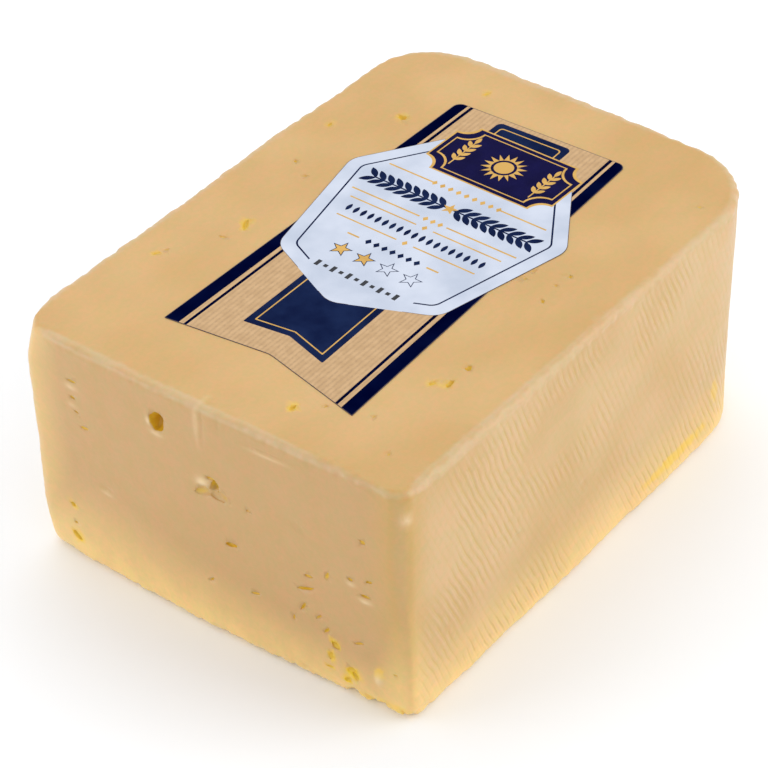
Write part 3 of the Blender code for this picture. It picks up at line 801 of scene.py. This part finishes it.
places = vectors_of(block_mesh.vertices, "co")
normals = vectors_of(block_mesh.vertex_normals, "vector")
below = np.array([uncut_surface.find_nearest(place)[3] for place in places.tolist()])
phase, along_marks, strength = cloth(places, normals)
front, back, far_end = wall_shares(normals)
yellow = np.zeros(len(places))
blotches = 0.32 * wander(places, BLOTCH_LENGTH, (6.0, 2.0, 7.0))
for *spot, share in YELLOW_SPOTS:
    blotched = ramp(0.25, 0.7, spot_share(places, *spot) + blotches)
    yellow = np.maximum(yellow, share * blotched)
pale = np.zeros(len(places))
for *spot, share in PALE_SPOTS:
    pale = np.maximum(pale, share * spot_share(places, *spot))
on_cut = on_face(places, "cut") * ramp(0.4, 0.8, -normals[:, 0])
left_share = ramp(0.0, 1.0, (places[:, 1] + BLOCK_WIDTH / 2.0) / BLOCK_WIDTH)
near_edge = np.hypot(places[:, 0] - block_low.x, places[:, 1] - block_low.y)
near_edge = 1.0 - ramp(1.0 * MM, NEAR_HONEY_WIDTH, near_edge)
# Where the painted glow reaches: up from the foot, higher on the cut face's left side, the front
# and by the near edge
foot_height = FOOT_HEIGHT * (1.0 + left_share * on_cut + 0.4 * front + 1.5 * near_edge)
foot_glow = fade(places[:, 2], foot_height) ** 1.4
left_glow = fade(BLOCK_WIDTH / 2.0 - places[:, 1], LEFT_GLOW_WIDTH) * on_cut
for name, values in {
    "near_edge": near_edge,
    "glow": np.maximum(foot_glow, 0.6 * left_glow),
    "eye_depth": below / MM * (1.0 - TORN_EYE_MUTING * spot_share(places, *TORN_EYE)),
    "cloth_phase": phase,
    "cloth_along": along_marks / STROKE_LENGTH,
    "cloth_strength": strength,
    "wall": np.clip(front + back + far_end, 0.0, 1.0),
    "cut": on_cut,
    "rim": rim_share(places),
    "yellow": yellow,
    "pale": pale,
}.items():
    layer = block_mesh.attributes.new(name, "FLOAT", "POINT")
    layer.data.foreach_set("value", values.astype(np.float32))

paste.use_nodes = True
tree = paste.node_tree
shader = tree.nodes["Principled BSDF"]
coordinates = add_node(tree, "ShaderNodeTexCoord", {}, {}).outputs["Object"]
broad = noise_on(tree, coordinates, 28.0 * MM, 3.0)
patchy = between(tree, noise_on(tree, coordinates, 7.0 * MM, 4.0, 0.6), 0.3, 0.7)
streaks = noise_on(tree, coordinates, 4.0 * MM, 3.0, 0.6, (0.35, 1.0, 1.0))
speckle = noise_on(tree, coordinates, 1.3 * MM, 2.0, 0.6)
top_colour = blended(tree, between(tree, broad, 0.35, 0.65), TOP_HONEY, TOP_CREAM)
wall_colour = blended(tree, between(tree, broad, 0.35, 0.65), WALL_HONEY, WALL_CREAM)
glow = product(tree, attribute(tree, "glow"), between(tree, patchy, 0.0, 1.0, 0.8, 1.0))
# The rims and the cut end's upright corners are made paler here: a painted highlight
rim = product(tree, attribute(tree, "rim"), between(tree, patchy, 0.0, 1.0, 0.55, 1.0))
colour = blended(tree, attribute(tree, "cut"), top_colour, CUT_PINK)
colour = blended(tree, attribute(tree, "wall"), colour, wall_colour)
colour = blended(tree, attribute(tree, "near_edge"), colour, NEAR_HONEY)
colour = blended(tree, glow, colour, PAINTED_GLOW_GOLD)
colour = blended(tree, rim, colour, RIM_HIGHLIGHT_PALE)
for marks, share in ((streaks, 0.5), (speckle, 0.6)):
    mottle = blended(tree, between(tree, marks, 0.35, 0.65), MOTTLE_OLIVE, MOTTLE_PINK)
    colour = blended(tree, share, colour, mottle, "MULTIPLY")

# The mould's cloth again, in the same place as its relief: golden grooves, and ridges painted
# paler, a painted highlight
wave = math_node(tree, "SINE", product(tree, attribute(tree, "cloth_phase"), 2.0 * math.pi))
row = math_node(tree, "FLOOR", attribute(tree, "cloth_phase"))
stroke_place = add_node(tree, "ShaderNodeCombineXYZ", {}, {
    "X": product(tree, row, 3.73), "Y": attribute(tree, "cloth_along"),
}).outputs[0]
stroke = noise_on(tree, stroke_place, 1.0 / 1.1)
stroke = between(tree, stroke, 0.4, 0.52, 0.25, 1.0)
stroke = product(tree, stroke, attribute(tree, "cloth_strength"))
groove = product(tree, between(tree, wave, -0.4, -0.95), stroke)
# The ridges are made paler: a painted highlight
ridge_highlight = product(tree, between(tree, wave, 0.2, 0.95), stroke)
depth = attribute(tree, "eye_depth")
for share, layer in (
    (product(tree, groove, 0.6), CLOTH_GROOVE),
    (product(tree, ridge_highlight, 0.4), CLOTH_RIDGE_HIGHLIGHT),
    (attribute(tree, "yellow"), FAT_YELLOW),
    (attribute(tree, "pale"), LUMP_PALE),
    (between(tree, depth, 0.04, 0.32), EYE_YELLOW),
    (between(tree, depth, 0.5, 2.2), EYE_AMBER),
):
    colour = blended(tree, share, colour, layer)
tree.links.new(colour, shader.inputs["Base Color"])
tree.links.new(between(tree, patchy, 0.0, 1.0, *MOISTNESS), shader.inputs["Roughness"])
shader.inputs["Subsurface Weight"].default_value = LIGHT_WEIGHT
shader.inputs["Subsurface Radius"].default_value = LIGHT_SHARES
shader.inputs["Subsurface Scale"].default_value = LIGHT_REACH
cloth_height = product(tree, product(tree, wave, stroke), 0.35)
cloth_height = math_node(tree, "SUBTRACT", cloth_height, groove)
cloth_bump = bump_on(tree, cloth_height, 0.055 * MM, 1.0)
grain = noise_on(tree, coordinates, 0.9 * MM, 3.0, 0.6)
grain_bump = bump_on(tree, grain, 0.06 * MM, 0.6, cloth_bump)
tree.links.new(grain_bump, shader.inputs["Normal"])

block_mesh.materials.clear()
block_mesh.materials.append(paste)
block_mesh.shade_smooth()
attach(block, "root")
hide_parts("cheese")

# The label is one die-cut sheet of coated paper, stuck flat on the top: a strip with a
# notched near end, and a wider plate across it. Its print is flat fields of ink on it:
# stripes and a ribbed brown ground on the strip, plain ornaments on the plate.
LABEL_NEAR_END = Vector((-56.7, -0.6))
LABEL_TURN = math.radians(0.9)
STRIP_LENGTH = 113.0
STRIP_NEAR_HALF_WIDTH = 28.3
STRIP_FAR_HALF_WIDTH = 24.9
STRIP_NEAR_SKEW = 2.1
STRIP_NOTCH_DEPTH = 5.0
STRIP_RADII = (0.2, 2.2, 2.2, 0.2, 6.0)
PLATE_APEX = 28.0
PLATE_STATIONS = ((38.7, 24.0), (76.7, 32.4), (104.0, 14.7))
PLATE_TURN = math.radians(-2.0)
PLATE_RADIUS = 6.0
ARC_STEPS = 6
SHEET_THICKNESS = 0.10 * MM
SHEET_LIFT = 0.03 * MM
SHEET_GRID = 3.0
SHEET_MERGE = 0.0005
BROWN_RIB = (0.37, 0.222, 0.112, 1.0)
BROWN_RIB_PITCH = 1.25 * MM
# Name, darkest and lightest colour, roughness, size of the mottle and sheen, in the order
# of the sheet's material slots
INKS = (
    ("navy_ink", (0.001, 0.006, 0.040), (0.006, 0.016, 0.066), 0.5, 9.0 * MM, 0.02),
    ("ribbed_brown", (0.520, 0.325, 0.158), (0.600, 0.385, 0.196), 0.6, 2.5 * MM, 0.3),
    # The silver paper's broad mottle from its darkest to its lightest colour is painted sheen
    ("silver_paper", (0.47, 0.52, 0.63), (0.60, 0.64, 0.745), 0.38, 16.0 * MM, 0.3),
    ("gold_ink", (0.56, 0.31, 0.054), (0.67, 0.385, 0.08), 0.4, 3.0 * MM, 0.3),
    ("black_ink", (0.006, 0.007, 0.012), (0.012, 0.013, 0.02), 0.45, 3.0 * MM, 0.3),
    # A dark line printed round the strip's cut edge and round the plate; round the plate it is
    # partly painted shadow
    ("edge_line_and_shadow_ink", (0.07, 0.05, 0.06), (0.12, 0.09, 0.09), 0.7, 3.0 * MM, 0.3),
    ("dark_blue_ink", (0.002, 0.001, 0.035), (0.004, 0.003, 0.052), 0.5, 6.0 * MM, 0.03),
    ("midnight_ink", (0.0, 0.001, 0.018), (0.001, 0.003, 0.028), 0.6, 9.0 * MM, 0.0),
)
NAVY, BROWN, SILVER, GOLD, BLACK, EDGE_LINE_AND_SHADOW, DARK_BLUE, MIDNIGHT = range(8)


def rounded_outline(corners, radii):
    """The corners of a flat shape, each one replaced by an arc of its own radius."""
    points = []
    for number, corner in enumerate(corners):
        before = (corners[number - 1] - corner).normalized()
        after = (corners[(number + 1) % len(corners)] - corner).normalized()
        half_angle = before.angle(after) / 2.0
        radius = radii[number]
        centre = corner + (before + after).normalized() * (radius / math.sin(half_angle))
        start = corner + before * (radius / math.tan(half_angle)) - centre
        end = corner + after * (radius / math.tan(half_angle)) - centre
        for step in range(ARC_STEPS + 1):
            spoke = start.lerp(end, step / ARC_STEPS).normalized() * radius
            points.append(centre + spoke)
    return points


def inset(corners, distance):
    """The corners of a flat shape, anticlockwise, with every side moved in by DISTANCE."""
    moved = []
    for number, corner in enumerate(corners):
        before = (corner - corners[number - 1]).normalized()
        after = (corners[(number + 1) % len(corners)] - corner).normalized()
        left_before = Vector((-before.y, before.x))
        left_after = Vector((-after.y, after.x))
        middle = (left_before + left_after).normalized()
        moved.append(corner + middle * (distance / middle.dot(left_before)))
    return moved


def box_field(s, t, length, width):
    """A rectangle around a middle, LENGTH along the turned plate and WIDTH across it."""
    corners = []
    for side_s, side_t in ((-1, -1), (1, -1), (1, 1), (-1, 1)):
        corner = Vector((side_s * length / 2.0, side_t * width / 2.0))
        corner.rotate(Matrix.Rotation(PLATE_TURN, 2))
        corners.append(Vector((s, t)) + corner)
    return corners


def lozenge(s, t, length, width):
    return [Vector((s - length / 2.0, t)), Vector((s, t - width / 2.0)),
            Vector((s + length / 2.0, t)), Vector((s, t + width / 2.0))]


def star(s, t, radius):
    points = []
    for corner in range(10):
        reach = radius if corner % 2 == 0 else radius * 0.42
        angle = math.pi * corner / 5.0
        points.append(Vector((s + reach * math.cos(angle), t + reach * math.sin(angle))))
    return points


def leaf(s, t, length, width, turn):
    """A pointed leaf from its foot at S and T."""
    points = []
    for step in range(16):
        share = 1.0 - abs(step - 8) / 8.0
        half_width = math.sin(math.pi * share) ** 0.8 * width / 2.0
        point = Vector((share * length, -half_width if step <= 8 else half_width))
        point.rotate(Matrix.Rotation(turn, 2))
        points.append(Vector((s, t)) + point)
    return points


plate_pivot = Vector(((PLATE_APEX + PLATE_STATIONS[-1][0]) / 2.0, 0.0))


def across_plate(s, t):
    """A place on the plate, which is turned a little on the strip."""
    arm = Vector((s, t)) - plate_pivot
    arm.rotate(Matrix.Rotation(PLATE_TURN, 2))
    return plate_pivot + arm


strip_corners = [Vector(place) for place in (
    (-STRIP_NEAR_SKEW, -STRIP_NEAR_HALF_WIDTH), (STRIP_LENGTH, -STRIP_FAR_HALF_WIDTH),
    (STRIP_LENGTH, STRIP_FAR_HALF_WIDTH), (STRIP_NEAR_SKEW, STRIP_NEAR_HALF_WIDTH),
    (STRIP_NOTCH_DEPTH, 0.0),
)]
plate_corners = [across_plate(PLATE_APEX, 0.0)]
plate_corners += [across_plate(along, -half) for along, half in PLATE_STATIONS]
plate_corners += [across_plate(along, half) for along, half in reversed(PLATE_STATIONS)]
plate = rounded_outline(plate_corners, [PLATE_RADIUS] * 7)
strip_inner = rounded_outline(inset(strip_corners, 0.15), STRIP_RADII)

fields = [(EDGE_LINE_AND_SHADOW, rounded_outline(strip_corners, STRIP_RADII)), (BROWN, strip_inner)]
stripes = []
for side in (-1.0, 1.0):
    for near_in, far_in, near_out, far_out in ((3.6, 3.2, -9.0, -9.0), (5.7, 4.9, 4.9, 4.0)):
        stripes.append((MIDNIGHT, [
            Vector((-6.0, side * (STRIP_NEAR_HALF_WIDTH - near_in))),
            Vector((STRIP_LENGTH + 6.0, side * (STRIP_FAR_HALF_WIDTH - far_in))),
            Vector((STRIP_LENGTH + 6.0, side * (STRIP_FAR_HALF_WIDTH - far_out))),
            Vector((-6.0, side * (STRIP_NEAR_HALF_WIDTH - near_out))),
        ]))
fields += stripes
banner = [Vector(place) for place in (
    (9.1, -11.6), (111.3, -10.2), (111.3, 11.2), (11.3, 12.7), (12.8, 0.5),
)]
for ink, inward, radii in (
    (NAVY, 0.0, (0.3, 1.5, 1.5, 0.3, 0.8)),
    (GOLD, 1.75, (0.2, 1.0, 1.0, 0.2, 0.6)),
    (NAVY, 2.1, (0.2, 0.8, 0.8, 0.2, 0.5)),
):
    fields.append((ink, rounded_outline(inset(banner, inward), radii)))
# The plate's dark rim: partly a printed outline, partly painted shadow along its edge
fields.append((EDGE_LINE_AND_SHADOW, plate))
for ink, inward, radius in ((SILVER, 0.12, 5.88), (NAVY, 3.6, 3.2), (SILVER, 4.05, 2.9)):
    fields.append((ink, rounded_outline(inset(plate_corners, inward), [radius] * 7)))
# The navy line round the plate is left out around the plate's near corner
rule_gap = (SILVER, box_field(36.0, 0.0, 12.0, 30.0))
fields.append(rule_gap)


def print_on_plate(ink, form, s, t, *sizes):
    """Prints one small form on the plate, around or from its place at S and T."""
    place = across_plate(s, t)
    fields.append((ink, form(place.x, place.y, *sizes)))


for number in range(-5, 6):
    length = 2.2 if number % 2 else 1.1
    print_on_plate(BLACK, box_field, 38.6, number * 2.3, length, 1.1)
for number, t in enumerate((10.6, 3.7, -3.2, -10.1)):
    print_on_plate(NAVY, star, 46.0, t, 3.0)
    print_on_plate(GOLD if number < 2 else SILVER, star, 46.0, t, 2.4)
for number in range(-3, 4):
    print_on_plate(NAVY, lozenge, 52.0, number * 2.4, 2.3, 1.7)
for s, first, last, width in (
    (52.0, 10.0, 13.5, 0.55), (56.6, 2.5, 20.5, 0.45), (64.2, 2.5, 22.5, 0.45),
    (67.4, 4.0, 24.5, 0.5), (80.6, 9.5, 23.5, 0.5),
):
    for side in (-1.0, 1.0):
        t = side * (first + last) / 2.0
        print_on_plate(GOLD, box_field, s, t, width, last - first)
for s, count, pitch in ((56.6, 1, 2.6), (64.2, 1, 2.6), (67.4, 2, 2.2), (80.6, 5, 2.4)):
    for number in range(-count + 1, count):
        print_on_plate(GOLD, lozenge, s, number * pitch, 2.0, 1.5)
for number in range(-9, 10):
    place = across_plate(60.4, number * 2.2)
    fields.append((NAVY, leaf(place.x - 1.5, place.y, 3.0, 1.2, 0.0)))
print_on_plate(NAVY, box_field, 74.0, 0.0, 0.5, 46.0)
for side in (-1.0, 1.0):
    for number in range(9):
        for lean in (-1.0, 1.0):
            turn = side * math.pi / 2.0 - side * lean * math.radians(42.0) + PLATE_TURN
            print_on_plate(NAVY, leaf, 74.0, side * (1.6 + number * 2.6), 4.4, 1.7, turn)
print_on_plate(GOLD, star, 74.0, 0.0, 2.2)

# The tablet on the plate's far end: dark blue print with hollow corners, a gold line
# inside its edge, and an ear of grain on each side of a small sun.
CARTOUCHE_PLACE = (95.5, 0.0)
CARTOUCHE_HALF_LENGTH = 10.6
CARTOUCHE_HALF_WIDTH = 19.0
CARTOUCHE_BITE = 4.2


def cartouche(shrink):
    """The tablet's outline, anticlockwise, with every side moved in by SHRINK."""
    points = []
    half_length = CARTOUCHE_HALF_LENGTH - shrink
    half_width = CARTOUCHE_HALF_WIDTH - shrink
    for side_s, side_t, start in ((-1, -1, 90), (1, -1, 180), (1, 1, 270), (-1, 1, 0)):
        for step in range(9):
            angle = math.radians(start - 90.0 * step / 8.0)
            bite = CARTOUCHE_BITE + shrink * 0.4
            points.append(across_plate(
                CARTOUCHE_PLACE[0] + side_s * half_length + bite * math.cos(angle),
                CARTOUCHE_PLACE[1] + side_t * half_width + bite * math.sin(angle),
            ))
    return points


for ink, shrink in ((GOLD, 0.0), (DARK_BLUE, 0.45), (GOLD, 1.6), (DARK_BLUE, 1.95)):
    fields.append((ink, cartouche(shrink)))
for t in (-12.0, 12.0):
    s = CARTOUCHE_PLACE[0]
    for number in range(4):
        for lean in (-1.0, 1.0):
            turn = lean * math.radians(38.0) + PLATE_TURN
            print_on_plate(GOLD, leaf, s - 4.2 + number * 2.2, t, 2.9, 1.2, turn)
    print_on_plate(GOLD, leaf, s + 4.2, t, 3.0, 1.2, PLATE_TURN)
    print_on_plate(GOLD, box_field, s - 1.0, t, 11.0, 0.35)


def inside(points, outline):
    """Which of the points lie inside a closed outline."""
    hit = np.zeros(len(points), bool)
    for first, second in zip(outline, outline[1:] + outline[:1]):
        crosses = (points[:, 1] < first.y) != (points[:, 1] < second.y)
        rise = second.y - first.y
        if rise == 0.0:
            continue
        meets = first.x + (points[:, 1] - first.y) * (second.x - first.x) / rise
        hit ^= crosses & (points[:, 0] < meets)
    return hit


sheet_points = []
sheet_edges = []
for _, outline in fields:
    first = len(sheet_points)
    count = len(outline)
    sheet_points += outline
    sheet_edges += [(first + number, first + (number + 1) % count) for number in range(count)]
grid_s, grid_t = np.meshgrid(
    np.arange(-3.0, STRIP_LENGTH, SHEET_GRID), np.arange(-33.0, 33.0, SHEET_GRID)
)
sheet_points += [Vector(place) for place in zip(grid_s.ravel(), grid_t.ravel())]
flat_points, _, triangles, _, _, _ = geometry.delaunay_2d_cdt(
    sheet_points, sheet_edges, [], 0, SHEET_MERGE
)
flat_places = np.array([tuple(point) for point in flat_points])
triangles = np.array([tuple(triangle) for triangle in triangles])
middles = flat_places[triangles].mean(axis=1)
inks = np.full(len(triangles), -1)
for field in fields:
    covered = inside(middles, field[1])
    if field in stripes:
        covered &= inside(middles, strip_inner)
    if field is rule_gap:
        covered &= inside(middles, plate)
    inks[covered] = field[0]
kept = inks >= 0
triangles = triangles[kept]
inks = inks[kept]


def label_place(flat):
    """Where a flat place on the label lies on the block's top."""
    spot = (LABEL_NEAR_END + Matrix.Rotation(LABEL_TURN, 2) @ flat) * MM
    return on_top(spot.x + to_frame[0], spot.y + to_frame[1])


form = bmesh.new()
sheet_corners = {}
for number in np.unique(triangles).tolist():
    place = label_place(Vector(flat_places[number]))
    sheet_corners[number] = form.verts.new((place.x, place.y, place.z + SHEET_LIFT))
sheet_map = form.loops.layers.uv.new("sheet")
flat_of = {vertex: flat_places[number] * MM for number, vertex in sheet_corners.items()}
for triangle, ink in zip(triangles.tolist(), inks.tolist()):
    face = form.faces.new([sheet_corners[number] for number in triangle])
    face.material_index = ink
    for loop in face.loops:
        loop[sheet_map].uv = flat_of[loop.vert]
bmesh.ops.recalc_face_normals(form, faces=form.faces[:])
if sum(face.normal.z for face in form.faces) < 0.0:
    bmesh.ops.reverse_faces(form, faces=form.faces[:])
sheet_mesh = bpy.data.meshes.new("label_sheet")
form.to_mesh(sheet_mesh)
form.free()


def brown_ribs(tree, flat, colour):
    """The ribs that run along brown paper, over its COLOUR."""
    rib_place = add_node(tree, "ShaderNodeSeparateXYZ", {}, {"Vector": flat}).outputs["Y"]
    ripple = noise_on(tree, flat, 9.0 * MM, 2.0, 0.5, (0.5, 1.0, 1.0))
    rib_phase = product(tree, rib_place, 2.0 * math.pi / BROWN_RIB_PITCH)
    rib_phase = math_node(tree, "ADD", rib_phase, product(tree, ripple, 2.4))
    rib = math_node(tree, "SINE", rib_phase)
    fibre = noise_on(tree, flat, 0.5 * MM, 3.0, 0.7, (0.7, 1.0, 1.0))
    shade = between(tree, rib, -0.6, 1.0, 0.0, 0.55)
    shade = product(tree, shade, between(tree, fibre, 0.35, 0.65, 0.25, 1.0))
    return blended(tree, shade, colour, BROWN_RIB)


for name, dark, light, roughness, size, sheen in INKS:
    material = bpy.data.materials.new(name)
    material.use_nodes = True
    sheet_mesh.materials.append(material)
    tree = material.node_tree
    shader = tree.nodes["Principled BSDF"]
    flat = add_node(tree, "ShaderNodeUVMap", {"uv_map": "sheet"}, {}).outputs["UV"]
    # For the silver paper this mottle stands in for sheen patches: painted sheen
    share = between(tree, noise_on(tree, flat, size, 3.0, 0.55), 0.3, 0.7)
    colour = blended(tree, share, (*dark, 1.0), (*light, 1.0))
    if name == "ribbed_brown":
        colour = brown_ribs(tree, flat, colour)
    fibres = noise_on(tree, flat, 0.5 * MM, 2.0, 0.6, (0.3, 1.0, 1.0))
    tree.links.new(colour, shader.inputs["Base Color"])
    tree.links.new(bump_on(tree, fibres, 0.01 * MM, 0.5), shader.inputs["Normal"])
    shader.inputs["Roughness"].default_value = roughness
    shader.inputs["Specular IOR Level"].default_value = sheen
gold = sheet_mesh.materials[GOLD]

sheet = new_piece("label_sheet", sheet_mesh)
thicken = sheet.modifiers.new("thickness", "SOLIDIFY")
thicken.thickness = SHEET_THICKNESS
thicken.offset = 1.0
thicken.use_even_offset = True
sheet_mesh = finished_mesh(sheet)
sheet.data = sheet_mesh
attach(sheet, "root")
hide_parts("label")

# The sun in the middle of the cartouche is stamped in gold foil: a round disc and a ring
# of pointed rays, a hair thicker than the paper around it.
SUN_RADIUS = 2.5 * MM
RAY_COUNT = 16
RAY_LENGTH = 2.6 * MM
RAY_GAP = 0.7 * MM
RAY_WIDTH = 0.8 * MM
FOIL_THICKNESS = 0.03 * MM

sun_place = label_place(across_plate(*CARTOUCHE_PLACE))
sun_place.z += SHEET_LIFT + SHEET_THICKNESS + 0.6 * FOIL_THICKNESS
tree, given, out = node_tree_with_inputs("foil sun", {
    "Disc Radius": SUN_RADIUS, "Rays": RAY_COUNT, "Ray Length": RAY_LENGTH,
    "Ray Width": RAY_WIDTH, "Ray Gap": RAY_GAP, "Thickness": FOIL_THICKNESS,
})
disc = add_node(tree, "GeometryNodeMeshCylinder", {}, {
    "Vertices": 32, "Radius": given.outputs["Disc Radius"], "Depth": given.outputs["Thickness"],
})
ray = add_node(tree, "GeometryNodeMeshCone", {}, {
    "Vertices": 4, "Radius Top": 0.0, "Radius Bottom": given.outputs["Ray Width"],
    "Depth": given.outputs["Ray Length"],
})
ring_radius = math_node(tree, "ADD", given.outputs["Disc Radius"], given.outputs["Ray Gap"])
ring = add_node(tree, "GeometryNodeMeshCircle", {}, {
    "Vertices": given.outputs["Rays"], "Radius": ring_radius,
})
outward = add_node(tree, "GeometryNodeInputPosition", {}, {})
aim = add_node(tree, "FunctionNodeAlignRotationToVector", {"axis": "Z"}, {
    "Vector": outward.outputs["Position"],
})
stand = add_node(tree, "GeometryNodeInstanceOnPoints", {}, {
    "Points": ring.outputs["Mesh"], "Instance": ray.outputs["Mesh"],
    "Rotation": aim.outputs["Rotation"],
})
flatness = math_node(tree, "DIVIDE", given.outputs["Thickness"], given.outputs["Ray Width"])
squash = add_node(tree, "ShaderNodeCombineXYZ", {}, {"X": 1.0, "Y": 1.0, "Z": flatness})
rays = add_node(tree, "GeometryNodeRealizeInstances", {}, {
    "Geometry": stand.outputs["Instances"],
})
flattened = add_node(tree, "GeometryNodeTransform", {}, {
    "Geometry": rays.outputs["Geometry"], "Scale": squash.outputs[0],
})
joined = tree.nodes.new("GeometryNodeJoinGeometry")
tree.links.new(disc.outputs["Mesh"], joined.inputs[0])
tree.links.new(flattened.outputs["Geometry"], joined.inputs[0])
end_tree(tree, joined.outputs[0], gold, out)
sun_mesh = grown_mesh("foil_sun", tree, {"Rays": RAY_COUNT})
sun_mesh.transform(Matrix.Translation(sun_place))
sun = new_piece("label_foil_sun", sun_mesh)
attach(sun, "root")
